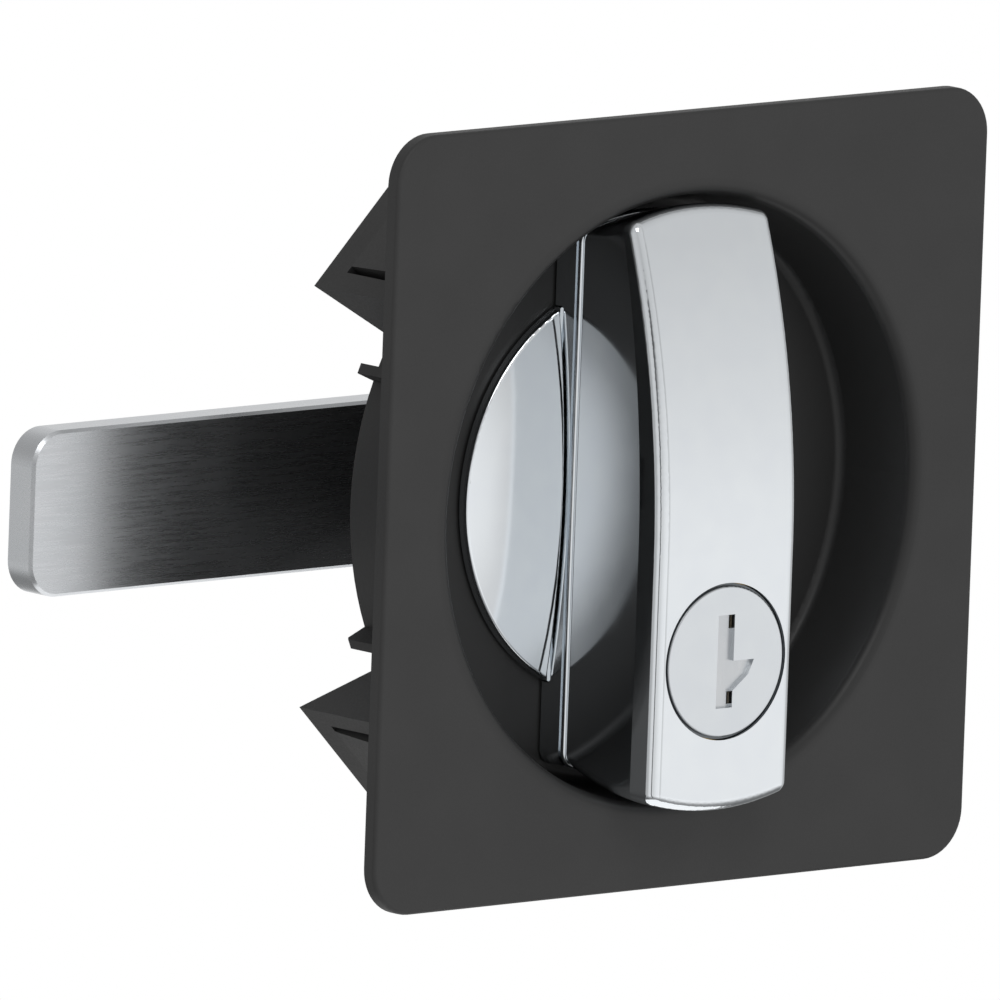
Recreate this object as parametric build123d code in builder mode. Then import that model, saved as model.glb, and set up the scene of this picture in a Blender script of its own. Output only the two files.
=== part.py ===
"""Square cabinet lock: a snap-in square plate with a round dish, a quarter-turn grip that carries a key
cylinder, and a flat steel tongue behind the panel.

Frame: the origin is on the turning axis, on the back face of the plate, where the panel's front surface lies.
+X is to the right as seen from the front, +Y points into the panel and +Z is up. Millimetres.
"""

from build123d import *
import math
import os

os.makedirs("parts", exist_ok=True)

# Square plate
plate_side = 75.0
plate_thickness = 1.5
plate_corner_radius = 4.7
plate_edge_round = 0.4

# Round dish, open to the front, and the round housing that its wall makes behind the plate
dish_mouth_radius = 29.45
dish_draft = 0.85
dish_depth = 9.7
dish_rim_round = 1.15
dish_corner_round = 0.9
housing_wall = 1.55
floor_thickness = 2.2
housing_rim_depth = 12.75
rear_rib_count = 8
rear_rib_width = 1.2
hub_radius = 11.0
hub_length = 8.6

# Snap lugs on the diagonals, and locating fins that stand out from the round wall between them
lug_stand = 5.35
lug_depth = 17.5
lug_half_width = 7.6
lug_rear_slope = 45.0
snap_arm_half_width = 4.6
snap_slit = 0.8
snap_arm_thickness = 1.25
snap_arm_root = 2.9
snap_flex_gap = 0.95
snap_barb = 0.8
panel_thickness = 3.0
fin_stand = 2.5
fin_angle = 23.4
fin_width = 1.0
fin_taper = 0.3

# Grip, its sloped front and its foot
grip_height = 6.92
grip_slope_start = -4.1
grip_slope_radius = 91.5
grip_shoulder_half_width = 8.56
grip_shoulder_angle = 13.2
grip_waist_half_width = 8.5
grip_wide_half_width = 9.2
grip_wide_height = 4.3
grip_waist_end_gap = 2.45
grip_mouth_end_gap = 0.8
grip_front_end_gap = 0.35
grip_corner_round = 1.3
grip_edge_round = 1.2
belt_depth = 6.0
foot_step = 0.28
foot_bead_round = 0.22
foot_bead_thickness = 0.3
foot_groove_width = 0.42
foot_groove_depth = 0.5
floor_gap = 0.25
grip_pocket_half_width = 6.0
grip_pocket_start = 9.0
grip_pocket_end = 20.0
grip_pocket_round = 1.0
grip_front_skin = 2.0
# Cosine of the steepest slope that still counts as the grip's front
front_facing = 0.8

# Domed disc under the grip
disc_wall_gap = 8.5
disc_plate_thickness = 0.95
disc_dome_radius = 111.0
disc_gap = 0.2
disc_rim_round = 0.45
disc_edge_round = 0.2
ball_track_inset = 4.6

# Key cylinder
cylinder_offset = 14.63
cap_face_radius = 7.3
cap_step = 0.22
cap_step_depth = 0.4
cap_bore_gap = 0.08
cap_length = 1.8
cap_skin = 0.45
barrel_step = 0.4
plug_radius = 5.5
keyway_width = 2.06
keyway_height = 9.0
keyway_groove_width = 2.6
keyway_groove_height = 2.9
keyway_groove_slope = 0.7
shutter_thickness = 0.3
shutter_slit_width = 0.5
shutter_slit_place = 0.9
shutter_slit_levels = ((3.1, 4.5), (-4.2, -3.0))
wafer_count = 5
wafer_pitch = 1.4
wafer_thickness = 0.7
wafer_half_width = 2.5
wafer_half_height = 4.75
wafer_window_half_width = 1.45
wafer_window_half_height = 3.2
wafer_window_offsets = (0.4, -0.3, 0.1, -0.5, 0.2)
wafer_channel_margin = 0.2
barrel_wafer_groove = 0.9
barrel_pin_radius = 0.75
barrel_pin_length = 5.8

# Locking bolt and the driver that moves it
driver_thickness = 1.3
driver_radius = 6.8
driver_tenon = 4.0
driver_throw = 3.0
driver_pin_radius = 0.9
bolt_slot_play = 0.15
bolt_thickness = 2.0
bolt_plate_half_width = 4.9
bolt_nose_half_width = 2.6
bolt_plate_half_length = 3.8
bolt_setback = 1.1
bolt_pocket_skin = 0.55
bolt_pocket_margin = 0.25
bolt_pocket_length = 4.0

# Spindle, from its square head in the grip to the stud behind the tongue
spindle_head_side = 12.0
spindle_head_thickness = 4.6
journal_radius = 6.0
flat_width = 9.0
square_side = 8.0
stud_radius = 3.0
seal_section_radius = 0.8
seal_chamber_radius = 7.0
seal_chamber_length = 3.2
bush_radius = 7.5
bush_flange_radius = 9.0
bush_flange_thickness = 0.8
cone_spring_height = 0.7
cone_spring_thickness = 0.35
cone_spring_radius = 8.6
stop_washer_thickness = 1.2
stop_washer_radius = 8.0
stop_tab_reach = 10.3
stop_tab_half_angle = 12.0
stop_tab_rest_angle = 135.0
stop_gap_angle = 1.0
stop_lug_inner_radius = 9.2
stop_lug_angle = 24.0
turn_range = 90.0
circlip_thickness = 0.8
circlip_radius = 8.2
circlip_groove_depth = 0.6
circlip_span = 290.0

# Tongue, its washer and its nut
tongue_width = 16.0
tongue_thickness = 3.6
tongue_reach = 62.6
tongue_tail = 10.0
tongue_corner_radius = 3.4
tongue_edge_bevel = 0.3
tongue_depth = 20.9
tongue_washer_radius = 6.0
tongue_washer_thickness = 1.0
nut_across_flats = 10.0
nut_thickness = 5.0
stud_tip = 1.0
metal_edge_break = 0.15

# Grip screws
grip_screw_x = 6.0
grip_screw_rim_gap = 3.8
grip_screw_radius = 1.25
grip_screw_head_radius = 2.1
grip_screw_length = 7.0
grip_screw_slot = 0.5
grip_screw_slot_depth = 0.85

# Screws between the disc and the foot
disc_screw_z = 10.6
disc_screw_radius = 1.0
disc_screw_head_radius = 1.8
disc_screw_length = 2.9
disc_screw_slot = 0.45
disc_screw_slot_depth = 0.55

# Detent balls and springs in the floor
ball_radius = 1.5
ball_stand = 0.35
dimple_gap = 0.3
detent_boss_radius = 3.1
detent_pocket_length = 5.6
spring_wire_radius = 0.22
spring_turns = 4

# How far cuts and construction solids run past the surface that they cross
overshoot = 1.0

# Clearances
slide_fit = 0.1
shaft_fit = 0.03
turn_fit = 0.05
seat_fit = 0.02
loose_fit = 0.15

# Levels along Y, from front to back
plate_front = -plate_thickness
grip_face = plate_front - grip_height
belt_level = plate_front + belt_depth
floor_level = plate_front + dish_depth
foot_rear = floor_level - floor_gap
disc_top = foot_rear - disc_plate_thickness
rim_rear = plate_front + housing_rim_depth
floor_rear = floor_level + floor_thickness
hub_rear = floor_level + hub_length
flange_rear = hub_rear + bush_flange_thickness
bolt_rear = belt_level - slide_fit
bolt_front = bolt_rear - bolt_thickness
driver_rear = bolt_front - slide_fit
driver_front = driver_rear - driver_thickness
barrel_rear = driver_front - turn_fit
cap_rear = grip_face + cap_length
barrel_front = cap_rear + seat_fit
shutter_front = grip_face + cap_skin
plug_front = shutter_front + shutter_thickness
cone_spring_rear = flange_rear + cone_spring_height
stop_rear = cone_spring_rear + stop_washer_thickness
circlip_rear = stop_rear + circlip_thickness
tongue_rear = tongue_depth + tongue_thickness
washer_rear = tongue_rear + tongue_washer_thickness
nut_rear = washer_rear + nut_thickness

dish_floor_radius = dish_mouth_radius - dish_draft
housing_radius = dish_mouth_radius + housing_wall
lug_reach = housing_radius + lug_stand
fin_reach = housing_radius + fin_stand
grip_waist_end_radius = dish_mouth_radius - grip_waist_end_gap
grip_mouth_end_radius = dish_mouth_radius - grip_mouth_end_gap
grip_front_end_radius = dish_mouth_radius - grip_front_end_gap
disc_radius = dish_floor_radius - disc_wall_gap
ball_track_radius = disc_radius - ball_track_inset
grip_screw_z = disc_radius + grip_screw_rim_gap
cap_radius = cap_face_radius + cap_step
cap_bore = cap_radius + cap_bore_gap
barrel_radius = cap_bore + barrel_step
bolt_reach = grip_waist_end_radius - bolt_setback
barrel_z = -cylinder_offset
pin_offset = driver_throw / math.sqrt(2)
bolt_travel = 2 * pin_offset
barrel_pin_place = barrel_radius / math.sqrt(2)
foot_half_width = grip_waist_half_width + foot_step
screw_tip = foot_rear - grip_screw_length
seal_centre = seal_chamber_radius - turn_fit - seal_section_radius
seal_level = floor_level + seal_chamber_length / 2
grip_screw_places = [
    (screw_x, screw_z) for screw_x in (-grip_screw_x, grip_screw_x) for screw_z in (-grip_screw_z, grip_screw_z)
]


def facing(y):
    """Plane at depth y that faces the viewer, so that a sketch on it is drawn in X and Z."""
    return Plane(origin=(0, y, 0), x_dir=(1, 0, 0), z_dir=(0, -1, 0))


def grip_outline(half_width, end_radius, corner):
    """Plan of the grip: straight sides and ends that are arcs about the turning axis."""
    with BuildSketch(mode=Mode.PRIVATE) as outline:
        Circle(end_radius)
        Rectangle(2 * half_width, 2 * end_radius, mode=Mode.INTERSECT)
        fillet(outline.vertices(), corner)
    return outline.sketch


def ring_sector(inner, outer, start, span):
    """Sector of a ring, with its angles in degrees from +X, anticlockwise as seen from the front."""
    with BuildSketch(mode=Mode.PRIVATE) as sector:
        with BuildLine():
            outer_arc = CenterArc((0, 0), outer, start, span)
            inner_arc = CenterArc((0, 0), inner, start, span)
            Line(outer_arc @ 0, inner_arc @ 0)
            Line(outer_arc @ 1, inner_arc @ 1)
        make_face()
    return sector.sketch


def countersunk(radius, head_radius, tip, rear):
    """Countersunk screw, or its hole, on the Y axis, with its flat head at the back."""
    with BuildPart(mode=Mode.PRIVATE) as form:
        with BuildSketch(Plane.XY):
            Polygon(
                (0, tip),
                (radius, tip),
                (radius, rear - (head_radius - radius)),
                (head_radius, rear),
                (0, rear),
                align=None,
            )
        revolve(axis=Axis.Y)
    return form.part


def tube(outer, inner, front, rear):
    """Plain ring on the Y axis."""
    with BuildPart(mode=Mode.PRIVATE) as form:
        with BuildSketch(facing(rear)):
            Circle(outer)
            Circle(inner, mode=Mode.SUBTRACT)
        extrude(amount=rear - front)
    return form.part


# Housing: plate, dish, round wall, hub, ribs, lugs and snap arms in one moulding
lug_inner = housing_radius - housing_wall / 2
lug_slope = math.tan(math.radians(lug_rear_slope))
arm_root = lug_depth - snap_arm_root
arm_inner = lug_reach - snap_arm_thickness
window_inner = arm_inner - snap_flex_gap
arm_free_end = panel_thickness + loose_fit
window_start = arm_free_end - snap_flex_gap
window_inner_end = arm_root - snap_flex_gap * lug_slope
ball_level = floor_level - ball_stand + ball_radius
detent_pocket_radius = ball_radius + slide_fit
detent_pocket_rear = floor_level + detent_pocket_length
bolt_pocket_reach = housing_radius - bolt_pocket_skin
with BuildPart() as housing:
    with BuildSketch(facing(0)):
        RectangleRounded(plate_side, plate_side, plate_corner_radius)
    extrude(amount=plate_thickness)
    fillet(housing.faces().sort_by(Axis.Y)[0].edges(), plate_edge_round)
    with BuildSketch(facing(rim_rear)):
        Circle(housing_radius)
    extrude(amount=rim_rear)
    # The floor's back is hollowed between the hub and the rim, and radial ribs stay
    with BuildSketch(facing(rim_rear)):
        Circle(dish_mouth_radius)
        Circle(hub_radius, mode=Mode.SUBTRACT)
        with PolarLocations((dish_mouth_radius + hub_radius) / 2, rear_rib_count, start_angle=180 / rear_rib_count):
            Rectangle(dish_mouth_radius - hub_radius + overshoot, rear_rib_width, mode=Mode.SUBTRACT)
    extrude(amount=rim_rear - floor_rear, mode=Mode.SUBTRACT)
    with BuildSketch(facing(hub_rear)):
        Circle(hub_radius)
    extrude(amount=hub_rear - floor_level)
    with BuildSketch(facing(detent_pocket_rear + detent_boss_radius - detent_pocket_radius)):
        with PolarLocations(ball_track_radius, 2):
            Circle(detent_boss_radius)
    extrude(amount=detent_pocket_length)
    # Lugs: each is a wedge whose rear face slopes from its outer edge in to the round wall
    for corner_angle in (45, 135, 225, 315):
        radial = Vector(1, 0, 0).rotate(Axis.Y, corner_angle)
        lug_plane = Plane(origin=(0, 0, 0), x_dir=radial, z_dir=radial.cross(Vector(0, 1, 0)))
        with BuildSketch(lug_plane):
            Polygon(
                (lug_inner, 0),
                (lug_reach, 0),
                (lug_reach, lug_depth),
                (lug_inner, lug_depth - (lug_reach - lug_inner) * lug_slope),
                align=None,
            )
        extrude(amount=lug_half_width, both=True)
        with BuildSketch(lug_plane):
            Polygon(
                (window_inner, window_start),
                (lug_reach + overshoot, window_start),
                (lug_reach + overshoot, arm_root),
                (arm_inner, arm_root),
                (window_inner, window_inner_end),
                align=None,
            )
        extrude(amount=snap_arm_half_width + snap_slit, both=True, mode=Mode.SUBTRACT)
        with BuildSketch(lug_plane):
            Polygon(
                (arm_inner, arm_free_end),
                (lug_reach + snap_barb, arm_free_end),
                (lug_reach, arm_root),
                (lug_reach, lug_depth),
                (arm_inner, lug_depth - snap_arm_thickness * lug_slope),
                align=None,
            )
        extrude(amount=snap_arm_half_width, both=True)
    # Locating fins: radial, a pair beside each lug, with their outer corners on the sides of a square cut-out
    for side_angle in (0, 90, 180, 270):
        for turned in (-fin_angle, fin_angle):
            radial = Vector(1, 0, 0).rotate(Axis.Y, side_angle + turned)
            with BuildSketch(Plane(origin=(0, 0, 0), x_dir=radial, z_dir=radial.cross(Vector(0, 1, 0)))):
                Polygon(
                    (lug_inner, 0),
                    (fin_reach, 0),
                    (fin_reach, rim_rear - fin_taper),
                    (fin_reach - fin_taper, rim_rear),
                    (lug_inner, rim_rear),
                    align=None,
                )
            extrude(amount=fin_width / 2, both=True)
    # Stop lugs on the hub's back face, one at each end of the turn
    with BuildSketch(facing(stop_rear)):
        tab_clear = stop_tab_half_angle + stop_gap_angle
        add(ring_sector(stop_lug_inner_radius, hub_radius, stop_tab_rest_angle + tab_clear, stop_lug_angle))
        add(
            ring_sector(
                stop_lug_inner_radius,
                hub_radius,
                stop_tab_rest_angle - turn_range - tab_clear - stop_lug_angle,
                stop_lug_angle,
            )
        )
    extrude(amount=stop_rear - hub_rear)
    # Dish
    with BuildSketch(Plane.XY):
        with BuildLine():
            Polyline(
                (0, plate_front - overshoot),
                (dish_mouth_radius, plate_front - overshoot),
                (dish_mouth_radius, plate_front),
                (dish_floor_radius, floor_level),
                (0, floor_level),
                close=True,
            )
        make_face()
    revolve(axis=Axis.Y, mode=Mode.SUBTRACT)
    mouth_edges = housing.edges().filter_by(GeomType.CIRCLE).filter_by(
        lambda edge: math.isclose(edge.radius, dish_mouth_radius, rel_tol=1e-6)
    )
    fillet(mouth_edges.sort_by(Axis.Y)[0], dish_rim_round)
    floor_edges = housing.edges().filter_by(GeomType.CIRCLE).filter_by(
        lambda edge: math.isclose(edge.radius, dish_floor_radius, rel_tol=1e-6)
    )
    fillet(floor_edges, dish_corner_round)
    # Bore for the bush, chamber for the seal, pockets for the balls and for the locking bolt
    with BuildSketch(facing(hub_rear)):
        Circle(bush_radius + seat_fit)
    extrude(amount=hub_rear - floor_level - seal_chamber_length, mode=Mode.SUBTRACT)
    with BuildSketch(facing(floor_level + seal_chamber_length)):
        Circle(seal_chamber_radius)
    extrude(amount=seal_chamber_length + overshoot, mode=Mode.SUBTRACT)
    with BuildSketch(facing(detent_pocket_rear)):
        with PolarLocations(ball_track_radius, 2):
            Circle(detent_pocket_radius)
    extrude(amount=detent_pocket_length + overshoot, mode=Mode.SUBTRACT)
    bolt_pocket_middle = bolt_pocket_reach - bolt_pocket_length / 2
    bolt_pocket_width = 2 * (bolt_nose_half_width + bolt_pocket_margin)
    with BuildSketch(facing(bolt_rear + bolt_pocket_margin)):
        with PolarLocations(bolt_pocket_middle, 2, start_angle=180, angular_range=turn_range, endpoint=True):
            Rectangle(bolt_pocket_length, bolt_pocket_width)
    extrude(amount=bolt_thickness + 2 * bolt_pocket_margin, mode=Mode.SUBTRACT)

# Bush in the hub, with its flange on the hub's back face
with BuildPart() as spindle_bush:
    with BuildSketch(facing(hub_rear)):
        Circle(bush_radius)
    extrude(amount=hub_rear - floor_level - seal_chamber_length)
    with BuildSketch(facing(flange_rear)):
        Circle(bush_flange_radius)
    extrude(amount=bush_flange_thickness)
    with BuildSketch(facing(flange_rear)):
        Circle(journal_radius + shaft_fit)
    extrude(amount=flange_rear, mode=Mode.SUBTRACT)

# Detent balls, which stand a little above the floor, and the springs behind them
with BuildPart() as detent_balls:
    with Locations((ball_track_radius, ball_level, 0), (-ball_track_radius, ball_level, 0)):
        Sphere(ball_radius)

coil_radius = detent_pocket_radius - slide_fit - spring_wire_radius
spring_front = ball_level + math.sqrt(ball_radius**2 - coil_radius**2) + spring_wire_radius + turn_fit
spring_rear = detent_pocket_rear - spring_wire_radius - turn_fit
spring_length = spring_rear - spring_front
with BuildPart() as detent_springs:
    for spring_x in (-ball_track_radius, ball_track_radius):
        with BuildLine() as coil:
            Helix(
                spring_length / spring_turns,
                spring_length,
                coil_radius,
                center=(spring_x, spring_front, 0),
                direction=(0, 1, 0),
            )
        with BuildSketch(Plane(origin=coil.line @ 0, z_dir=coil.line % 0)):
            Circle(spring_wire_radius)
        sweep(path=coil.line, is_frenet=True)

# Grip: sides from a trapezoid, ends turned about the axis, and a front swept along its slope
belt_to_wide = belt_level - (plate_front - grip_wide_height)
side_flare = (grip_wide_half_width - grip_waist_half_width) / belt_to_wide
front_margin = 2 * overshoot
grip_depth = belt_level - grip_face
shoulder_spread = math.tan(math.radians(grip_shoulder_angle))
path_end = grip_front_end_radius + 3 * overshoot
slope_arc = math.degrees(math.asin((path_end - grip_slope_start) / grip_slope_radius))
section_depth = grip_depth + 4 * overshoot
section_half_width = grip_shoulder_half_width + section_depth * shoulder_spread
with BuildPart() as front_form:
    with BuildLine(Plane.YZ) as front_path:
        straight = Line((grip_face, -path_end), (grip_face, grip_slope_start))
        JernArc(straight @ 1, (0, 1), grip_slope_radius, -slope_arc)
    with BuildSketch(Plane(origin=(0, grip_face, -path_end), x_dir=(1, 0, 0), z_dir=(0, 0, 1))):
        Polygon(
            (-grip_shoulder_half_width, 0),
            (grip_shoulder_half_width, 0),
            (section_half_width, section_depth),
            (-section_half_width, section_depth),
            align=None,
        )
    sweep(path=front_path.line)

with BuildPart() as end_form:
    with BuildSketch(Plane.XY):
        with BuildLine():
            ThreePointArc(
                (grip_waist_end_radius, belt_level),
                (grip_mouth_end_radius, plate_front),
                (grip_front_end_radius, grip_face - front_margin),
            )
            Polyline(
                (grip_front_end_radius, grip_face - front_margin),
                (0, grip_face - front_margin),
                (0, belt_level),
                (grip_waist_end_radius, belt_level),
            )
        make_face()
    revolve(axis=Axis.Y)

with BuildPart() as grip_shell:
    with BuildSketch(Plane.XY.offset(-grip_front_end_radius - overshoot)):
        flare_width = grip_waist_half_width + (grip_depth + front_margin) * side_flare
        Polygon(
            (-grip_waist_half_width, belt_level),
            (grip_waist_half_width, belt_level),
            (flare_width, grip_face - front_margin),
            (-flare_width, grip_face - front_margin),
            align=None,
        )
    extrude(amount=2 * (grip_front_end_radius + overshoot))
    add(end_form.part, mode=Mode.INTERSECT)
    add(front_form.part, mode=Mode.INTERSECT)
    corner_x = grip_waist_half_width - overshoot
    corner_z = math.sqrt(grip_waist_end_radius**2 - grip_waist_half_width**2) - overshoot
    corner_edges = grip_shell.edges().filter_by(
        lambda edge: abs((edge @ 0.5).X) > corner_x and abs((edge @ 0.5).Z) > corner_z
    )
    fillet(corner_edges, grip_corner_round)
    front_faces = grip_shell.faces().filter_by(lambda face: face.normal_at().Y < -front_facing)
    outer_edges = front_faces.edges().filter_by(
        lambda edge: (edge @ 0.5 - Vector(0, grip_face, grip_slope_start)).length > overshoot
    )
    fillet(outer_edges, grip_edge_round)
    # Stepped bore for the key cylinder, and the groove of its pin
    with BuildSketch(facing(belt_level)):
        with Locations((0, barrel_z)):
            Circle(barrel_radius + seat_fit)
        with Locations((-barrel_pin_place, barrel_z - barrel_pin_place)):
            Circle(barrel_pin_radius + seat_fit)
    extrude(amount=belt_level - barrel_front, mode=Mode.SUBTRACT)
    with BuildSketch(facing(barrel_front)):
        with Locations((0, barrel_z)):
            Circle(cap_bore)
    extrude(amount=cap_length + overshoot, mode=Mode.SUBTRACT)
    # Pocket for the spindle's head, hollow above it, channel of the locking bolt and screw holes
    with BuildSketch(facing(belt_level)):
        Rectangle(spindle_head_side + 2 * turn_fit, spindle_head_side + 2 * turn_fit)
    extrude(amount=spindle_head_thickness + turn_fit, mode=Mode.SUBTRACT)
    slope_drop = (grip_pocket_end - grip_slope_start) ** 2 / (2 * grip_slope_radius)
    with BuildSketch(facing(belt_level)):
        with Locations((0, (grip_pocket_start + grip_pocket_end) / 2)):
            RectangleRounded(2 * grip_pocket_half_width, grip_pocket_end - grip_pocket_start, grip_pocket_round)
    extrude(amount=grip_depth - slope_drop - grip_front_skin, mode=Mode.SUBTRACT)
    channel_top = barrel_z + bolt_plate_half_length + slide_fit
    channel_length = 2 * bolt_plate_half_length + bolt_travel + 2 * slide_fit
    with BuildSketch(facing(belt_level)):
        with Locations((0, channel_top - channel_length / 2)):
            Rectangle(2 * (bolt_plate_half_width + slide_fit), channel_length)
        with Locations((0, barrel_z - grip_waist_end_radius / 2)):
            Rectangle(2 * (bolt_nose_half_width + slide_fit), grip_waist_end_radius)
    extrude(amount=belt_level - bolt_front + slide_fit, mode=Mode.SUBTRACT)
    with BuildSketch(facing(belt_level)):
        with GridLocations(2 * grip_screw_x, 2 * grip_screw_z, 2, 2):
            Circle(grip_screw_radius + seat_fit)
    extrude(amount=belt_level - screw_tip + loose_fit, mode=Mode.SUBTRACT)

# Foot: closes the grip from behind and reaches down to the dish floor
with BuildPart() as grip_foot:
    with BuildSketch(facing(foot_rear)):
        add(grip_outline(foot_half_width, grip_waist_end_radius + foot_step, grip_corner_round + foot_step))
    extrude(amount=foot_rear - belt_level)
    fillet(grip_foot.faces().sort_by(Axis.Y)[0].edges(), foot_bead_round)
    # Shadow groove behind the bead
    with BuildSketch(facing(belt_level + foot_bead_thickness + foot_groove_width)):
        Rectangle(4 * foot_half_width, 3 * grip_waist_end_radius)
        neck_round = grip_corner_round + foot_step - foot_groove_depth
        neck_end_radius = grip_waist_end_radius + foot_step - foot_groove_depth
        add(grip_outline(foot_half_width - foot_groove_depth, neck_end_radius, neck_round), mode=Mode.SUBTRACT)
    extrude(amount=foot_groove_width, mode=Mode.SUBTRACT)
    with BuildSketch(facing(foot_rear)):
        Circle(disc_radius + slide_fit)
    extrude(amount=disc_plate_thickness, mode=Mode.SUBTRACT)
    with BuildSketch(facing(foot_rear)):
        Circle(journal_radius + seat_fit)
        with Locations((0, disc_screw_z), (0, -disc_screw_z)):
            Circle(disc_screw_radius + seat_fit)
    extrude(amount=foot_rear, mode=Mode.SUBTRACT)
    screw_hole = countersunk(
        grip_screw_radius + slide_fit,
        grip_screw_head_radius + slide_fit + loose_fit,
        belt_level - overshoot,
        foot_rear,
    )
    for screw_x, screw_z in grip_screw_places:
        add(screw_hole.moved(Location((screw_x, 0, screw_z))), mode=Mode.SUBTRACT)

# Countersunk screws through the foot into the grip
with BuildPart() as grip_screws:
    screw = countersunk(grip_screw_radius, grip_screw_head_radius, screw_tip, foot_rear - loose_fit)
    for screw_x, screw_z in grip_screw_places:
        add(screw.moved(Location((screw_x, 0, screw_z))))
    with BuildSketch(facing(foot_rear)):
        with Locations(*grip_screw_places):
            Rectangle(2 * grip_screw_radius, grip_screw_slot)
            Rectangle(grip_screw_slot, 2 * grip_screw_radius)
    extrude(amount=loose_fit + grip_screw_slot_depth, mode=Mode.SUBTRACT)

# Domed disc: a dome on each side of the foot, joined by a flat plate that runs under it
slot_half_width = foot_half_width + disc_gap
with BuildPart() as turn_disc:
    dome_centre = disc_top + math.sqrt(disc_dome_radius**2 - disc_radius**2)
    with BuildSketch(Plane.XY) as dome_profile:
        with BuildLine():
            Polyline(
                (0, dome_centre - disc_dome_radius),
                (0, foot_rear),
                (disc_radius, foot_rear),
                (disc_radius, disc_top),
            )
            RadiusArc((disc_radius, disc_top), (0, dome_centre - disc_dome_radius), disc_dome_radius)
        make_face()
        fillet(dome_profile.vertices().group_by(Axis.X)[-1].sort_by(Axis.Y)[0], disc_rim_round)
    revolve(axis=Axis.Y)
    with BuildSketch(facing(foot_rear)):
        Rectangle(2 * slot_half_width, 2 * (disc_radius + overshoot))
    extrude(amount=foot_rear, mode=Mode.SUBTRACT)
    slot_edges = turn_disc.edges().filter_by(
        lambda edge: math.isclose(abs((edge @ 0.5).X), slot_half_width, rel_tol=1e-6) and (edge @ 0.5).Y < disc_top
    )
    fillet(slot_edges, disc_edge_round)
    with BuildSketch(facing(foot_rear)):
        Circle(disc_radius)
        Rectangle(2 * slot_half_width, 2 * disc_radius, mode=Mode.INTERSECT)
    extrude(amount=disc_plate_thickness)
    with BuildSketch(facing(foot_rear)):
        Circle(journal_radius + seat_fit)
    extrude(amount=foot_rear, mode=Mode.SUBTRACT)
    screw_hole = countersunk(
        disc_screw_radius + slide_fit,
        disc_screw_head_radius + slide_fit + loose_fit,
        disc_top - overshoot,
        foot_rear,
    )
    for screw_z in (-disc_screw_z, disc_screw_z):
        add(screw_hole.moved(Location((0, 0, screw_z))), mode=Mode.SUBTRACT)
    # Track for the balls, with a deeper dimple at each quarter turn
    with BuildSketch(Plane.XY):
        with Locations((ball_track_radius, ball_level)):
            Circle(ball_radius + turn_fit)
    revolve(axis=Axis.Y, mode=Mode.SUBTRACT)
    for dimple_angle in (0, 90, 180, 270):
        with Locations(Vector(ball_track_radius, ball_level, 0).rotate(Axis.Y, dimple_angle)):
            Sphere(ball_radius + dimple_gap, mode=Mode.SUBTRACT)

with BuildPart() as disc_screws:
    screw = countersunk(
        disc_screw_radius, disc_screw_head_radius, foot_rear - disc_screw_length, foot_rear - loose_fit
    )
    for screw_z in (-disc_screw_z, disc_screw_z):
        add(screw.moved(Location((0, 0, screw_z))))
    with BuildSketch(facing(foot_rear)):
        with Locations((0, disc_screw_z), (0, -disc_screw_z)):
            Rectangle(2 * disc_screw_radius, disc_screw_slot)
            Rectangle(disc_screw_slot, 2 * disc_screw_radius)
    extrude(amount=loose_fit + disc_screw_slot_depth, mode=Mode.SUBTRACT)

# Key cylinder: fixed barrel, its pin, the turning plug with its cap and dust shutter, and the wafers
with BuildPart() as lock_barrel:
    with BuildSketch(facing(barrel_rear)):
        with Locations((0, barrel_z)):
            Circle(barrel_radius)
            Circle(plug_radius + shaft_fit, mode=Mode.SUBTRACT)
            Rectangle(
                2 * (wafer_half_width + wafer_channel_margin),
                2 * (plug_radius + barrel_wafer_groove),
                mode=Mode.SUBTRACT,
            )
        with Locations((-barrel_pin_place, barrel_z - barrel_pin_place)):
            Circle(barrel_pin_radius + seat_fit, mode=Mode.SUBTRACT)
    extrude(amount=barrel_rear - barrel_front)

with BuildPart() as barrel_pin:
    with BuildSketch(facing(barrel_rear)):
        with Locations((-barrel_pin_place, barrel_z - barrel_pin_place)):
            Circle(barrel_pin_radius)
    extrude(amount=barrel_pin_length)

with BuildSketch() as keyway:
    with Locations((0, barrel_z)):
        Rectangle(keyway_width, keyway_height)
    groove_start = keyway_width / 2 - seat_fit
    groove_end = keyway_width / 2 + keyway_groove_width
    Polygon(
        (groove_start, barrel_z),
        (groove_end, barrel_z),
        (groove_end - keyway_groove_slope, barrel_z - keyway_groove_height / 2),
        (groove_start, barrel_z - keyway_groove_height),
        align=None,
    )

with BuildPart() as plug_cap:
    with BuildSketch(facing(cap_rear)):
        with Locations((0, barrel_z)):
            Circle(cap_radius)
    extrude(amount=cap_length - cap_step_depth)
    with BuildSketch(facing(cap_rear)):
        with Locations((0, barrel_z)):
            Circle(cap_face_radius)
    extrude(amount=cap_length)
    fillet(plug_cap.faces().sort_by(Axis.Y)[0].edges(), metal_edge_break)
    with BuildSketch(facing(cap_rear)):
        with Locations((0, barrel_z)):
            Circle(plug_radius + seat_fit)
    extrude(amount=cap_length - cap_skin, mode=Mode.SUBTRACT)
    with BuildSketch(facing(cap_rear)):
        add(keyway.sketch)
    extrude(amount=cap_length, mode=Mode.SUBTRACT)

with BuildPart() as key_shutter:
    with BuildSketch(facing(plug_front)):
        with Locations((0, barrel_z)):
            Circle(plug_radius)
        for slit_foot, slit_head in shutter_slit_levels:
            with Locations((shutter_slit_place, barrel_z + (slit_foot + slit_head) / 2)):
                Rectangle(shutter_slit_width, slit_head - slit_foot, mode=Mode.SUBTRACT)
    extrude(amount=shutter_thickness)

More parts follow.
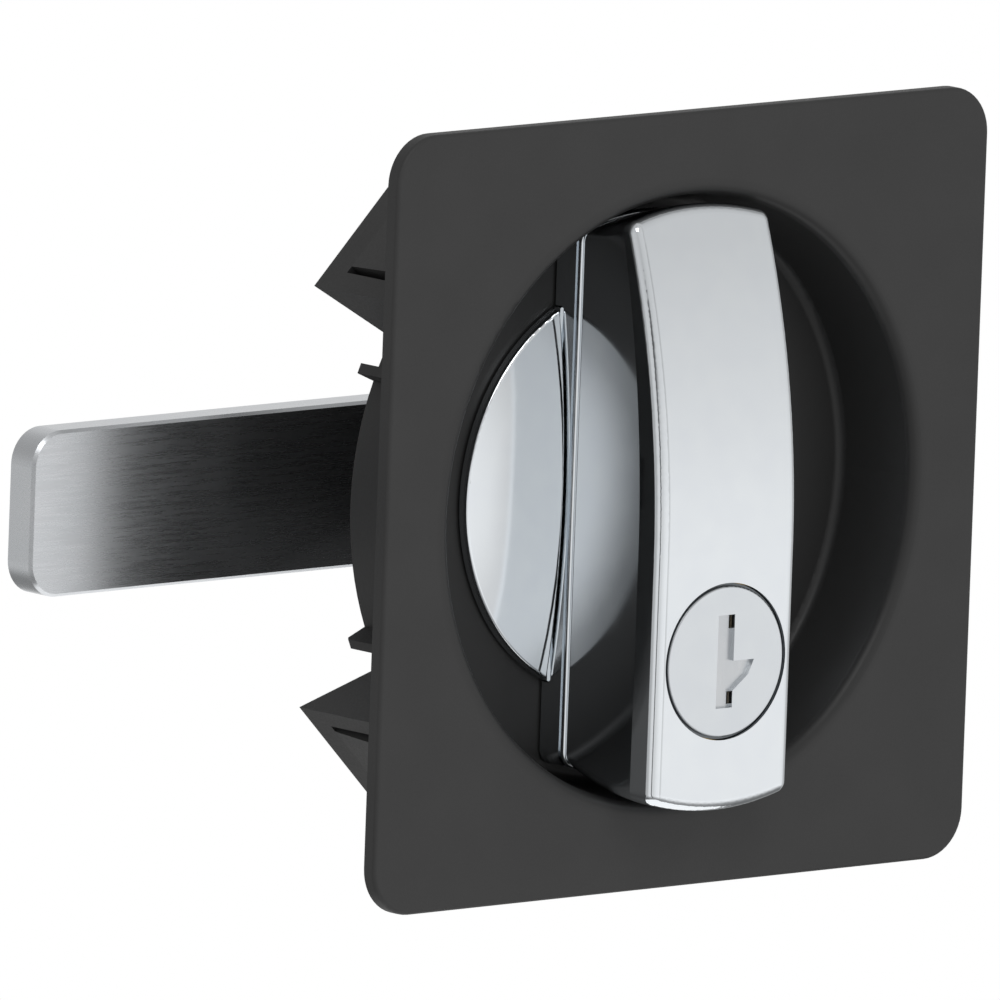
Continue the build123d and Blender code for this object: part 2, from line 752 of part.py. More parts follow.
wafer_fronts = [barrel_front + wafer_thickness + index * wafer_pitch for index in range(wafer_count)]
with BuildPart() as key_plug:
    with BuildSketch(facing(driver_front)):
        with Locations((0, barrel_z)):
            Circle(plug_radius)
    extrude(amount=driver_front - plug_front)
    with BuildSketch(facing(driver_rear)):
        with Locations((0, barrel_z)):
            Rectangle(driver_tenon, driver_tenon)
    extrude(amount=driver_thickness)
    keyway_end = wafer_fronts[-1] + wafer_thickness
    with BuildSketch(facing(keyway_end)):
        add(keyway.sketch)
    extrude(amount=keyway_end - plug_front, mode=Mode.SUBTRACT)
    for wafer_front in wafer_fronts:
        with BuildSketch(facing(wafer_front + wafer_thickness + turn_fit)):
            with Locations((0, barrel_z)):
                Rectangle(2 * (wafer_half_width + turn_fit), 2 * (plug_radius + overshoot))
        extrude(amount=wafer_thickness + 2 * turn_fit, mode=Mode.SUBTRACT)

with BuildPart() as plug_wafers:
    for wafer_front, window_offset in zip(wafer_fronts, wafer_window_offsets):
        with BuildSketch(facing(wafer_front + wafer_thickness)):
            with Locations((0, barrel_z)):
                Rectangle(2 * wafer_half_width, 2 * wafer_half_height)
            with Locations((0, barrel_z + window_offset)):
                Rectangle(2 * wafer_window_half_width, 2 * wafer_window_half_height, mode=Mode.SUBTRACT)
        extrude(amount=wafer_thickness)

# Driver on the plug's tail, and the bolt that its pin slides into the dish wall
with BuildPart() as bolt_driver:
    with BuildSketch(facing(driver_rear)):
        with Locations((0, barrel_z)):
            Circle(driver_radius)
            Rectangle(driver_tenon + 2 * seat_fit, driver_tenon + 2 * seat_fit, mode=Mode.SUBTRACT)
    extrude(amount=driver_thickness)
    with BuildSketch(facing(bolt_rear)):
        with Locations((pin_offset, barrel_z + pin_offset)):
            Circle(driver_pin_radius)
    extrude(amount=bolt_rear - driver_rear)

with BuildPart() as locking_bolt:
    slot_start = pin_offset - driver_pin_radius - slide_fit
    slot_end = driver_throw + driver_pin_radius + slide_fit
    nose_length = bolt_reach + barrel_z
    with BuildSketch(facing(bolt_rear)):
        with Locations((0, barrel_z)):
            Rectangle(2 * bolt_plate_half_width, 2 * bolt_plate_half_length)
        with Locations((0, barrel_z - nose_length / 2)):
            Rectangle(2 * bolt_nose_half_width, nose_length)
        with Locations(((slot_start + slot_end) / 2, barrel_z + pin_offset)):
            Rectangle(slot_end - slot_start, 2 * (driver_pin_radius + bolt_slot_play), mode=Mode.SUBTRACT)
    extrude(amount=bolt_thickness)

# Spindle: square head, journal with a seal groove, flats, square for the tongue and threaded stud
square_rear = tongue_rear - loose_fit
circlip_bore = journal_radius - circlip_groove_depth
with BuildPart() as spindle:
    with BuildSketch(facing(belt_level)):
        Rectangle(spindle_head_side, spindle_head_side)
    extrude(amount=spindle_head_thickness)
    with BuildSketch(facing(cone_spring_rear)):
        Circle(journal_radius)
    extrude(amount=cone_spring_rear - belt_level)
    with BuildSketch(facing(tongue_depth)):
        Circle(journal_radius)
        Rectangle(2 * journal_radius, flat_width, mode=Mode.INTERSECT)
    extrude(amount=tongue_depth - cone_spring_rear)
    with BuildSketch(facing(square_rear)):
        RectangleRounded(square_side, square_side, metal_edge_break)
    extrude(amount=square_rear - tongue_depth)
    with BuildSketch(facing(nut_rear + stud_tip)):
        Circle(stud_radius)
    extrude(amount=nut_rear + stud_tip - square_rear)
    chamfer(spindle.faces().sort_by(Axis.Y)[-1].edges(), stud_tip / 2)
    groove_reach = seal_section_radius + seat_fit
    seal_groove = tube(
        journal_radius + overshoot, seal_centre - groove_reach, seal_level - groove_reach, seal_level + groove_reach
    )
    add(seal_groove, mode=Mode.SUBTRACT)
    clip_groove = tube(journal_radius + overshoot, circlip_bore, stop_rear, circlip_rear)
    add(clip_groove, mode=Mode.SUBTRACT)

with BuildPart() as spindle_seal:
    with BuildSketch(Plane.XY):
        with Locations((seal_centre, seal_level)):
            Circle(seal_section_radius)
    revolve(axis=Axis.Y)

# Behind the bush: cone spring, stop washer and circlip
with BuildPart() as cone_spring:
    cone_front = flange_rear + seat_fit
    cone_bore = journal_radius + slide_fit
    with BuildSketch(Plane.XY):
        Polygon(
            (cone_bore, cone_spring_rear - cone_spring_thickness),
            (cone_bore, cone_spring_rear),
            (cone_spring_radius, cone_front + cone_spring_thickness),
            (cone_spring_radius, cone_front),
            align=None,
        )
    revolve(axis=Axis.Y)

with BuildPart() as stop_washer:
    with BuildSketch(facing(stop_rear)):
        Circle(stop_washer_radius)
        add(
            ring_sector(
                stop_washer_radius - overshoot,
                stop_tab_reach,
                stop_tab_rest_angle - stop_tab_half_angle,
                2 * stop_tab_half_angle,
            )
        )
        with BuildSketch(mode=Mode.PRIVATE) as flatted_hole:
            Circle(journal_radius + seat_fit)
            Rectangle(2 * (journal_radius + overshoot), flat_width + 2 * seat_fit, mode=Mode.INTERSECT)
        add(flatted_hole.sketch, mode=Mode.SUBTRACT)
    extrude(amount=stop_washer_thickness)

with BuildPart() as circlip:
    with BuildSketch(facing(circlip_rear)):
        add(ring_sector(circlip_bore + seat_fit, circlip_radius, 0, circlip_span))
    extrude(amount=circlip_thickness)

# Tongue on the square, with its washer and nut
with BuildPart() as tongue:
    with BuildSketch(facing(tongue_rear)):
        with Locations(((tongue_tail - tongue_reach) / 2, 0)):
            RectangleRounded(tongue_reach + tongue_tail, tongue_width, tongue_corner_radius)
    extrude(amount=tongue_thickness)
    chamfer(tongue.faces().sort_by(Axis.Y)[0].edges() + tongue.faces().sort_by(Axis.Y)[-1].edges(), tongue_edge_bevel)
    with BuildSketch(facing(tongue_rear)):
        Rectangle(square_side + 2 * turn_fit, square_side + 2 * turn_fit)
    extrude(amount=tongue_thickness, mode=Mode.SUBTRACT)

with BuildPart() as tongue_washer:
    add(tube(tongue_washer_radius, stud_radius + slide_fit, tongue_rear, washer_rear))

with BuildPart() as tongue_nut:
    with BuildSketch(facing(nut_rear)):
        RegularPolygon(nut_across_flats / 2, 6, major_radius=False)
    extrude(amount=nut_thickness)
    # The corners are rounded off by a cone at each end
    nut_corner = nut_across_flats / math.sqrt(3)
    corner_drop = (nut_corner - nut_across_flats / 2) * math.tan(math.radians(30))
    with BuildSketch(Plane.XY):
        Polygon(
            (0, washer_rear),
            (nut_across_flats / 2, washer_rear),
            (nut_corner, washer_rear + corner_drop),
            (nut_corner, nut_rear - corner_drop),
            (nut_across_flats / 2, nut_rear),
            (0, nut_rear),
            align=None,
        )
    revolve(axis=Axis.Y, mode=Mode.INTERSECT)
    with BuildSketch(facing(nut_rear)):
        Circle(stud_radius + seat_fit)
    extrude(amount=nut_thickness, mode=Mode.SUBTRACT)

pieces = {
    "housing": housing,
    "spindle_bush": spindle_bush,
    "detent_balls": detent_balls,
    "detent_springs": detent_springs,
    "grip_shell": grip_shell,
    "grip_foot": grip_foot,
    "grip_screws": grip_screws,
    "turn_disc": turn_disc,
    "disc_screws": disc_screws,
    "lock_barrel": lock_barrel,
    "barrel_pin": barrel_pin,
    "plug_cap": plug_cap,
    "key_shutter": key_shutter,
    "key_plug": key_plug,
    "plug_wafers": plug_wafers,
    "bolt_driver": bolt_driver,
    "locking_bolt": locking_bolt,
    "spindle": spindle,
    "spindle_seal": spindle_seal,
    "cone_spring": cone_spring,
    "stop_washer": stop_washer,
    "circlip": circlip,
    "tongue": tongue,
    "tongue_washer": tongue_washer,
    "tongue_nut": tongue_nut,
}
for name, piece in pieces.items():
    piece.part.label = name
    export_step(piece.part, f"parts/{name}.step")
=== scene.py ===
# %% [markdown]
# # A square cabinet lock
#
# The object is a snap-in lock for a cabinet door: a black moulded plate with a round dish, a chrome grip
# that turns by a quarter and carries a key cylinder, and a flat steel tongue behind the panel. Its shapes
# come from the CAD model, which is loaded here as a fixed frame. What is left to Blender is the look: what
# each piece is made of, how its surface was made, and the light and the camera that show it.

# %% Load the frame
import math

import bpy
from mathutils import Matrix, Vector

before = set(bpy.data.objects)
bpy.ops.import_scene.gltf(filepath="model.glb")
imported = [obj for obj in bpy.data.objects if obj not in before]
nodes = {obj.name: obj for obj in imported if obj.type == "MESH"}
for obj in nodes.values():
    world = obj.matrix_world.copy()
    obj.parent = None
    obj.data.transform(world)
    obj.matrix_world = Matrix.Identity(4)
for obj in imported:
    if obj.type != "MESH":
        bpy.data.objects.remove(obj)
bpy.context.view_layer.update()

# %% [markdown]
# Colours are easiest to read as the hex values of a picture, which are sRGB. Blender's shaders work in linear
# light, so one function turns the first into the second. A second small function adds a shader node with its
# settings and its links, so that each material below reads as a list of what it is built from.

# %% Colour and node helpers
def linear(hex_colour):
    """Linear RGBA of an sRGB hex colour such as '#3c3d3f'."""
    values = [int(hex_colour[i : i + 2], 16) / 255 for i in (1, 3, 5)]
    return tuple(v / 12.92 if v <= 0.04045 else ((v + 0.055) / 1.055) ** 2.4 for v in values) + (1.0,)


def add_node(tree, kind, settings=None, inputs=None, stops=()):
    """Add a node with its properties, inputs and colour stops. An input that is a socket is linked."""
    node = tree.nodes.new(kind)
    for name, value in (settings or {}).items():
        setattr(node, name, value)
    for name, value in (inputs or {}).items():
        if isinstance(value, bpy.types.NodeSocket):
            tree.links.new(value, node.inputs[name])
        else:
            node.inputs[name].default_value = value
    for index, (place, value) in enumerate(stops):
        elements = node.color_ramp.elements
        element = elements[index] if index < 2 else elements.new(place)
        element.position = place
        element.color = linear(value) if isinstance(value, str) else (value, value, value, 1)
    return node


def new_material(name):
    """Empty node material with its output; returns the material, its tree and the output."""
    material = bpy.data.materials.new(name)
    material.use_nodes = True
    material.node_tree.nodes.clear()
    output = add_node(material.node_tree, "ShaderNodeOutputMaterial")
    return material, material.node_tree, output


def dress(material, *names):
    """Give CAD nodes a material."""
    for name in names:
        mesh = nodes[name].data
        mesh.materials.clear()
        mesh.materials.append(material)
    print(material.name, "on", ", ".join(names))


def per_mm(size_mm):
    """Texture scale that gives one cell of the pattern this size, because coordinates are in metres."""
    return 1000.0 / size_mm


# %% [markdown]
# ## Glass-filled nylon
#
# The plate, the dish and the lugs are one moulding in black glass-filled nylon. The mould's spark-eroded
# steel leaves a fine grain of about a quarter of a millimetre, which makes the plate look dark grey and soft
# rather than black, because each grain turns a little of the light to the eye. A plain dark colour with a
# bump of that grain gives this; a very faint, larger mottling stands for the glass fibres near the skin.
# The dish is smoother than the plate, as from a polished part of the mould, and its colour is darker as
# painted shade in the recess, so the material changes where the distance from the turning axis falls below
# the radius of the dish's rounded edge.

# %% Black moulding
grain_mm = 0.25
grain_height = 0.00003
fibre_mottle_mm = 7.0
dish_edge_radius = 0.0298
dish_edge_blend = 0.0014
# painted shade: the dish's colour is darker than the plate's to stand in for the shade in the recess
dish_painted_shade_colour = "#2e2e2e"
dish_roughness = 0.42


def make_nylon():
    material, tree, output = new_material("glass_filled_nylon_moulded")
    place = add_node(tree, "ShaderNodeTexCoord")
    grain = add_node(
        tree,
        "ShaderNodeTexNoise",
        inputs={"Vector": place.outputs["Object"], "Scale": per_mm(grain_mm), "Detail": 3.0},
    )
    mottle = add_node(
        tree,
        "ShaderNodeTexNoise",
        inputs={"Vector": place.outputs["Object"], "Scale": per_mm(fibre_mottle_mm), "Detail": 4.0},
    )
    from_axis = add_node(
        tree,
        "ShaderNodeVectorMath",
        settings={"operation": "MULTIPLY"},
        inputs={0: place.outputs["Object"], 1: (1.0, 0.0, 1.0)},
    )
    radius = add_node(
        tree,
        "ShaderNodeVectorMath",
        settings={"operation": "LENGTH"},
        inputs={0: from_axis.outputs["Vector"]},
    )
    in_dish = add_node(
        tree,
        "ShaderNodeMapRange",
        inputs={
            "Value": radius.outputs["Value"],
            "From Min": dish_edge_radius + dish_edge_blend,
            "From Max": dish_edge_radius,
        },
    )
    plate_colour = add_node(
        tree,
        "ShaderNodeValToRGB",
        inputs={"Fac": mottle.outputs["Fac"]},
        stops=[(0.3, "#393939"), (0.7, "#3c3c3c")],
    )
    # inside the dish the darker colour is painted shade for the recess; the same mask makes the dish smoother
    colour = add_node(
        tree,
        "ShaderNodeMix",
        settings={"data_type": "RGBA"},
        inputs={0: in_dish.outputs["Result"], 6: plate_colour.outputs["Color"], 7: linear(dish_painted_shade_colour)},
    )
    grain_rough = add_node(
        tree, "ShaderNodeValToRGB", inputs={"Fac": grain.outputs["Fac"]}, stops=[(0.3, 0.46), (0.7, 0.58)]
    )
    rough = add_node(
        tree,
        "ShaderNodeMix",
        settings={"data_type": "FLOAT"},
        inputs={0: in_dish.outputs["Result"], 2: grain_rough.outputs["Color"], 3: dish_roughness},
    )
    bump = add_node(
        tree,
        "ShaderNodeBump",
        inputs={"Strength": 0.25, "Distance": grain_height, "Height": grain.outputs["Fac"]},
    )
    shader = add_node(
        tree,
        "ShaderNodeBsdfPrincipled",
        inputs={
            "Base Color": colour.outputs[2],
            "Roughness": rough.outputs[0],
            "IOR": 1.38,
            "Normal": bump.outputs["Normal"],
        },
    )
    tree.links.new(shader.outputs["BSDF"], output.inputs["Surface"])
    return material


nylon = make_nylon()
dress(nylon, "housing")

# %% [markdown]
# ## Chrome plate on die-cast zinc
#
# The grip, its foot and the domed disc are zinc castings, polished and then plated with nickel and chrome.
# Chrome is only a little blue: it shows what stands round it. That is why the grip's sides look black in the
# black dish while its front looks nearly white. The plating is metallic with a low roughness, and a slow
# unevenness of about a centimetre, left by the polishing wheel, is what keeps its reflections from looking
# like those of glass.

# %% Chrome plate
polish_wave_mm = 9.0
haze_mm = 3.0
wave_height = 0.0001


def make_chrome(name, roughness, wave, dark, light):
    material, tree, output = new_material(name)
    place = add_node(tree, "ShaderNodeTexCoord")
    polish = add_node(
        tree,
        "ShaderNodeTexNoise",
        inputs={"Vector": place.outputs["Object"], "Scale": per_mm(polish_wave_mm), "Detail": 1.0},
    )
    haze = add_node(
        tree,
        "ShaderNodeTexNoise",
        inputs={"Vector": place.outputs["Object"], "Scale": per_mm(haze_mm), "Detail": 4.0},
    )
    colour = add_node(
        tree,
        "ShaderNodeValToRGB",
        inputs={"Fac": haze.outputs["Fac"]},
        stops=[(0.3, dark), (0.7, light)],
    )
    rough = add_node(
        tree,
        "ShaderNodeValToRGB",
        inputs={"Fac": haze.outputs["Fac"]},
        stops=[(0.3, roughness * 0.9), (0.7, roughness * 1.1)],
    )
    bump = add_node(
        tree,
        "ShaderNodeBump",
        inputs={"Strength": wave, "Distance": wave_height, "Height": polish.outputs["Fac"]},
    )
    shader = add_node(
        tree,
        "ShaderNodeBsdfPrincipled",
        inputs={
            "Base Color": colour.outputs["Color"],
            "Metallic": 1.0,
            "Roughness": rough.outputs["Color"],
            "Normal": bump.outputs["Normal"],
        },
    )
    tree.links.new(shader.outputs["BSDF"], output.inputs["Surface"])
    return material


grip_chrome = make_chrome("chrome_plated_zinc_casting", 0.09, 0.05, "#e2e6ea", "#e5e9ec")
dress(grip_chrome, "grip_shell", "grip_foot", "turn_disc")

# %% [markdown]
# ## Cap of the key cylinder
#
# The cap has a duller nickel plating, a little greyer than the grip round it. The low step round its face is
# made darker and rougher than the face, and the cylinder shows as a grey ring. The distance from the
# cylinder's axis tells the face from the step.

# %% Satin cap with a dull step
cylinder_axis_z = -0.01463
cap_face_radius = 0.0073
cap_step_blend = 0.0002
cap_step_colour = "#7d8184"
cap_face_roughness = 0.2
cap_step_roughness = 0.45


def make_cap():
    material, tree, output = new_material("satin_nickel_plated_cap")
    place = add_node(tree, "ShaderNodeTexCoord")
    centred = add_node(
        tree,
        "ShaderNodeVectorMath",
        settings={"operation": "MULTIPLY_ADD"},
        inputs={0: place.outputs["Object"], 1: (1.0, 0.0, 1.0), 2: (0.0, 0.0, -cylinder_axis_z)},
    )
    radius = add_node(
        tree, "ShaderNodeVectorMath", settings={"operation": "LENGTH"}, inputs={0: centred.outputs["Vector"]}
    )
    step = add_node(
        tree,
        "ShaderNodeMapRange",
        inputs={
            "Value": radius.outputs["Value"],
            "From Min": cap_face_radius - cap_step_blend,
            "From Max": cap_face_radius,
        },
    )
    haze = add_node(
        tree,
        "ShaderNodeTexNoise",
        inputs={"Vector": place.outputs["Object"], "Scale": per_mm(haze_mm), "Detail": 4.0},
    )
    face_colour = add_node(
        tree,
        "ShaderNodeValToRGB",
        inputs={"Fac": haze.outputs["Fac"]},
        stops=[(0.3, "#d7dbdf"), (0.7, "#dadee1")],
    )
    colour = add_node(
        tree,
        "ShaderNodeMix",
        settings={"data_type": "RGBA"},
        inputs={0: step.outputs["Result"], 6: face_colour.outputs["Color"], 7: linear(cap_step_colour)},
    )
    rough = add_node(
        tree,
        "ShaderNodeMix",
        settings={"data_type": "FLOAT"},
        inputs={0: step.outputs["Result"], 2: cap_face_roughness, 3: cap_step_roughness},
    )
    shader = add_node(
        tree,
        "ShaderNodeBsdfPrincipled",
        inputs={"Base Color": colour.outputs[2], "Metallic": 1.0, "Roughness": rough.outputs[0]},
    )
    tree.links.new(shader.outputs["BSDF"], output.inputs["Surface"])
    return material


dress(make_cap(), "plug_cap")

# %% [markdown]
# ## Zinc-plated steel
#
# The tongue is cut from drawn flat bar and zinc plated, so it has fine draw lines along its length and a
# satin sheen that blurs what it mirrors. The small turned and pressed pieces behind it have the same plating
# with rings or no lines. A noise texture stretched along one direction gives the lines, from cells of a
# fifth of a millimetre.
#
# The tongue's normal also leans along the bar by a constant slope, while the solid stays flat. The slope was
# chosen so that the edge that the tongue mirrors lies where the photograph shows it.

# %% Drawn steel bar and plated small parts
draw_line_mm = 0.2
cloud_mm = 5.0
line_height = 0.00002
line_depth = 0.06
tongue_lean = 0.03


def make_zinc(name, stretch, roughness, dark, light, lean=0.0):
    material, tree, output = new_material(name)
    place = add_node(tree, "ShaderNodeTexCoord")
    split = add_node(tree, "ShaderNodeSeparateXYZ", inputs={"Vector": place.outputs["Object"]})
    lines_place = add_node(
        tree, "ShaderNodeMapping", inputs={"Vector": place.outputs["Object"], "Scale": stretch}
    )
    lines = add_node(
        tree,
        "ShaderNodeTexNoise",
        inputs={
            "Vector": lines_place.outputs["Vector"],
            "Scale": per_mm(draw_line_mm),
            "Detail": 3.0,
            "Roughness": 0.6,
        },
    )
    cloud = add_node(
        tree,
        "ShaderNodeTexNoise",
        inputs={"Vector": place.outputs["Object"], "Scale": per_mm(cloud_mm), "Detail": 4.0},
    )
    colour = add_node(
        tree, "ShaderNodeValToRGB", inputs={"Fac": cloud.outputs["Fac"]}, stops=[(0.3, dark), (0.7, light)]
    )
    rough = add_node(
        tree,
        "ShaderNodeValToRGB",
        inputs={"Fac": lines.outputs["Fac"]},
        stops=[(0.3, roughness - 0.03), (0.7, roughness + 0.03)],
    )
    relief = add_node(
        tree,
        "ShaderNodeMath",
        settings={"operation": "MULTIPLY_ADD"},
        inputs={0: split.outputs["X"], 1: lean / (line_height * line_depth), 2: lines.outputs["Fac"]},
    )
    bump = add_node(
        tree,
        "ShaderNodeBump",
        inputs={"Strength": line_depth, "Distance": line_height, "Height": relief.outputs[0]},
    )
    shader = add_node(
        tree,
        "ShaderNodeBsdfPrincipled",
        inputs={
            "Base Color": colour.outputs["Color"],
            "Metallic": 1.0,
            "Roughness": rough.outputs["Color"],
            "Normal": bump.outputs["Normal"],
        },
    )
    tree.links.new(shader.outputs["BSDF"], output.inputs["Surface"])
    return material


tongue_zinc = make_zinc("zinc_plated_drawn_bar", (0.05, 1.0, 1.0), 0.28, "#d5d8db", "#d9dbde", tongue_lean)
dress(tongue_zinc, "tongue")
small_zinc = make_zinc("zinc_plated_turned_steel", (1.0, 0.3, 1.0), 0.3, "#c3c6ca", "#cdced0")
dress(small_zinc, "spindle", "tongue_nut", "tongue_washer", "stop_washer")
dress(small_zinc, "grip_screws", "disc_screws", "barrel_pin")
bolt_zinc = make_zinc("zinc_plated_pressed_steel", (1.0, 1.0, 0.05), 0.33, "#bfc2c6", "#c8cacc")
dress(bolt_zinc, "locking_bolt", "bolt_driver")
oiled_steel = make_zinc("oiled_spring_steel", (1.0, 1.0, 1.0), 0.35, "#6f7073", "#78787a")
dress(oiled_steel, "circlip", "cone_spring", "detent_springs")
ball_steel = make_chrome("polished_bearing_steel", 0.06, 0.02, "#d5d6d8", "#d9dadb")
dress(ball_steel, "detent_balls")

# %% [markdown]
# ## Inside the key cylinder
#
# The barrel and the plug are turned from brass. The wafers that feel the key are stamped from nickel silver,
# a whitish copper alloy. The thin dust shutter behind the cap is bright spring steel: through the keyway it
# shows as a pale floor with two dark slits. All are metals, so the same recipe serves with other colours.

# %% Brass, nickel silver and bright spring steel
brass = make_zinc("turned_brass", (1.0, 0.2, 1.0), 0.25, "#c9a252", "#d2ae5f")
dress(brass, "lock_barrel")
dull_brass = make_zinc("tarnished_brass", (1.0, 0.2, 1.0), 0.45, "#7b7260", "#868078")
dress(dull_brass, "key_plug")
nickel_silver = make_zinc("stamped_nickel_silver", (1.0, 1.0, 0.3), 0.3, "#cfcbbf", "#d7d3c8")
dress(nickel_silver, "plug_wafers")
bright_steel = make_zinc("bright_spring_steel", (1.0, 1.0, 0.1), 0.3, "#cccfd2", "#d2d4d6")
dress(bright_steel, "key_shutter")

# %% [markdown]
# ## Acetal and rubber
#
# The bush is machined acetal, a milky plastic that lets a little light in. The seal is plain black rubber,
# which is dull and darker than the nylon. Both lie hidden in the hub, so they need little more than the right
# colour, gloss and a fine grain.

# %% Acetal bush and rubber seal
plain_grain_height = 0.00002


def make_plain(name, dark, light, roughness, grain_size_mm):
    material, tree, output = new_material(name)
    place = add_node(tree, "ShaderNodeTexCoord")
    grain = add_node(
        tree,
        "ShaderNodeTexNoise",
        inputs={"Vector": place.outputs["Object"], "Scale": per_mm(grain_size_mm), "Detail": 3.0},
    )
    colour = add_node(
        tree, "ShaderNodeValToRGB", inputs={"Fac": grain.outputs["Fac"]}, stops=[(0.3, dark), (0.7, light)]
    )
    bump = add_node(
        tree,
        "ShaderNodeBump",
        inputs={"Strength": 0.2, "Distance": plain_grain_height, "Height": grain.outputs["Fac"]},
    )
    shader = add_node(
        tree,
        "ShaderNodeBsdfPrincipled",
        inputs={
            "Base Color": colour.outputs["Color"],
            "Roughness": roughness,
            "IOR": 1.48,
            "Normal": bump.outputs["Normal"],
        },
    )
    tree.links.new(shader.outputs["BSDF"], output.inputs["Surface"])
    return material


dress(make_plain("acetal_machined", "#d8d5cb", "#dfdcd3", 0.4, 0.4), "spindle_bush")
dress(make_plain("nitrile_rubber_moulded", "#151515", "#1b1b1b", 0.7, 0.2), "spindle_seal")

# %% [markdown]
# ## Floor
#
# The photograph has a white ground without an edge. The floor is a small, pale round board well below the
# lock, which in use is held up by a panel. It glows for rays from the camera, for reflections and for rays
# through clear pieces, so that it reaches the white of the backdrop and its edge doesn't show. It still takes
# the object's shadow.

# %% Floor
floor_level = -0.16
floor_glow = 0.68
floor_radius = 0.12
bpy.ops.mesh.primitive_circle_add(
    vertices=96, radius=floor_radius, fill_type="NGON", location=(0, 0, floor_level)
)
floor = bpy.context.object
floor.name = "floor"
floor_paint, tree, output = new_material("pale_floor")
light_path = add_node(tree, "ShaderNodeLightPath")
seen = add_node(
    tree,
    "ShaderNodeMath",
    settings={"operation": "MAXIMUM"},
    inputs={0: light_path.outputs["Is Camera Ray"], 1: light_path.outputs["Is Glossy Ray"]},
)
seen = add_node(
    tree,
    "ShaderNodeMath",
    settings={"operation": "MAXIMUM"},
    inputs={0: seen.outputs[0], 1: light_path.outputs["Is Transmission Ray"]},
)
glow = add_node(
    tree,
    "ShaderNodeMath",
    settings={"operation": "MULTIPLY"},
    inputs={0: seen.outputs[0], 1: floor_glow},
)
emission = add_node(
    tree, "ShaderNodeEmission", inputs={"Color": linear("#ffffff"), "Strength": glow.outputs[0]}
)
diffuse = add_node(tree, "ShaderNodeBsdfDiffuse", inputs={"Color": linear("#e6e6e6")})
both = add_node(tree, "ShaderNodeAddShader", inputs={0: emission.outputs[0], 1: diffuse.outputs[0]})
tree.links.new(both.outputs[0], output.inputs["Surface"])
floor.data.materials.append(floor_paint)
print("floor radius", floor_radius)

# %% [markdown]
# ## World
#
# Polished metal shows the whole studio, so the world is built as one. A radial gradient runs once round the
# vertical axis, and a ramp says how bright each side is: wide soft light in front with a narrow darker gap to
# the right of it, darker on both sides, and pale behind. A second ramp runs from below to above. It is
# brightest a little below the middle and falls off upwards, where the sloped top of the grip looks. A third
# ramp is a round softbox on the left, bright within and with a dark frame round it.
#
# How the photograph was lit isn't known. These values were set over several rounds, until what the chrome
# mirrors was as bright as in the photograph. The camera itself sees plain white.

# %% Studio round the object
def ramp_place(degrees):
    """Place on the radial gradient of a side, in degrees to the right of the front."""
    return (0.25 + degrees / 360) % 1.0


studio_sides = [
    (-90, 0.5),
    (-76, 0.8),
    (-56, 0.85),
    (-42, 0.80),
    (-34, 0.77),
    (-24, 0.86),
    (-5, 0.96),
    (19, 1.0),
    (22.4, 0.98),
    (23.4, 0.90),
    (24.4, 0.80),
    (25.4, 0.71),
    (26.5, 0.68),
    (30, 0.80),
    (36, 0.96),
    (41, 0.98),
    (60, 0.90),
    (80, 0.5),
    (105, 0.6),
    (125, 1.0),
    (155, 1.0),
    (175, 0.8),
    (215, 0.62),
    (240, 0.5),
    (269, 0.5),
]
# Place from straight down, 0, to straight up, 1, with the brightness there
studio_rise = [
    (0.0, 0.2),
    (0.2, 0.35),
    (0.315, 0.97),
    (0.335, 1.0),
    (0.42, 0.93),
    (0.47, 0.89),
    (0.545, 0.79),
    (0.59, 0.74),
    (0.665, 0.65),
    (1.0, 0.57),
]
# Distance from the round softbox's direction, as between two unit vectors, with the brightness there
softbox_direction = (-0.494, -0.855, -0.16)
softbox_frame = [
    (0.255, 1.0),
    (0.28, 0.88),
    (0.295, 0.77),
    (0.32, 0.54),
    (0.35, 0.33),
    (0.38, 0.17),
    (0.405, 0.1),
    (0.44, 0.1),
    (0.48, 1.0),
]
frame_starts_x = -0.40
frame_full_x = -0.60
studio_strength = 1.08
world = bpy.data.worlds.new("studio")
bpy.context.scene.world = world
world.use_nodes = True
tree = world.node_tree
tree.nodes.clear()
output = add_node(tree, "ShaderNodeOutputWorld")
direction = add_node(tree, "ShaderNodeTexCoord")
around = add_node(
    tree,
    "ShaderNodeTexGradient",
    settings={"gradient_type": "RADIAL"},
    inputs={"Vector": direction.outputs["Generated"]},
)
sides = add_node(
    tree,
    "ShaderNodeValToRGB",
    inputs={"Fac": around.outputs["Fac"]},
    stops=[(ramp_place(degrees), strength) for degrees, strength in studio_sides],
)
split = add_node(tree, "ShaderNodeSeparateXYZ", inputs={"Vector": direction.outputs["Generated"]})
height = add_node(
    tree,
    "ShaderNodeMapRange",
    inputs={"Value": split.outputs["Z"], "From Min": -1.0, "From Max": 1.0},
)
rise = add_node(
    tree,
    "ShaderNodeValToRGB",
    inputs={"Fac": height.outputs["Result"]},
    stops=studio_rise,
)
walls = add_node(
    tree,
    "ShaderNodeMix",
    settings={"data_type": "RGBA", "blend_type": "MULTIPLY"},
    inputs={0: 1.0, 6: sides.outputs["Color"], 7: rise.outputs["Color"]},
)
off_centre = add_node(
    tree,
    "ShaderNodeVectorMath",
    settings={"operation": "DISTANCE"},
    inputs={0: direction.outputs["Generated"], 1: softbox_direction},
)
frame_ring = add_node(
    tree,
    "ShaderNodeValToRGB",
    inputs={"Fac": off_centre.outputs["Value"]},
    stops=softbox_frame,
)
left_only = add_node(
    tree,
    "ShaderNodeMapRange",
    inputs={"Value": split.outputs["X"], "From Min": frame_starts_x, "From Max": frame_full_x},
)
studio_light = add_node(
    tree,
    "ShaderNodeMix",
    settings={"data_type": "RGBA", "blend_type": "MULTIPLY"},
    inputs={0: left_only.outputs["Result"], 6: walls.outputs[2], 7: frame_ring.outputs["Color"]},
)
light_path = add_node(tree, "ShaderNodeLightPath")
studio = add_node(
    tree,
    "ShaderNodeBackground",
    inputs={"Color": studio_light.outputs[2], "Strength": studio_strength},
)
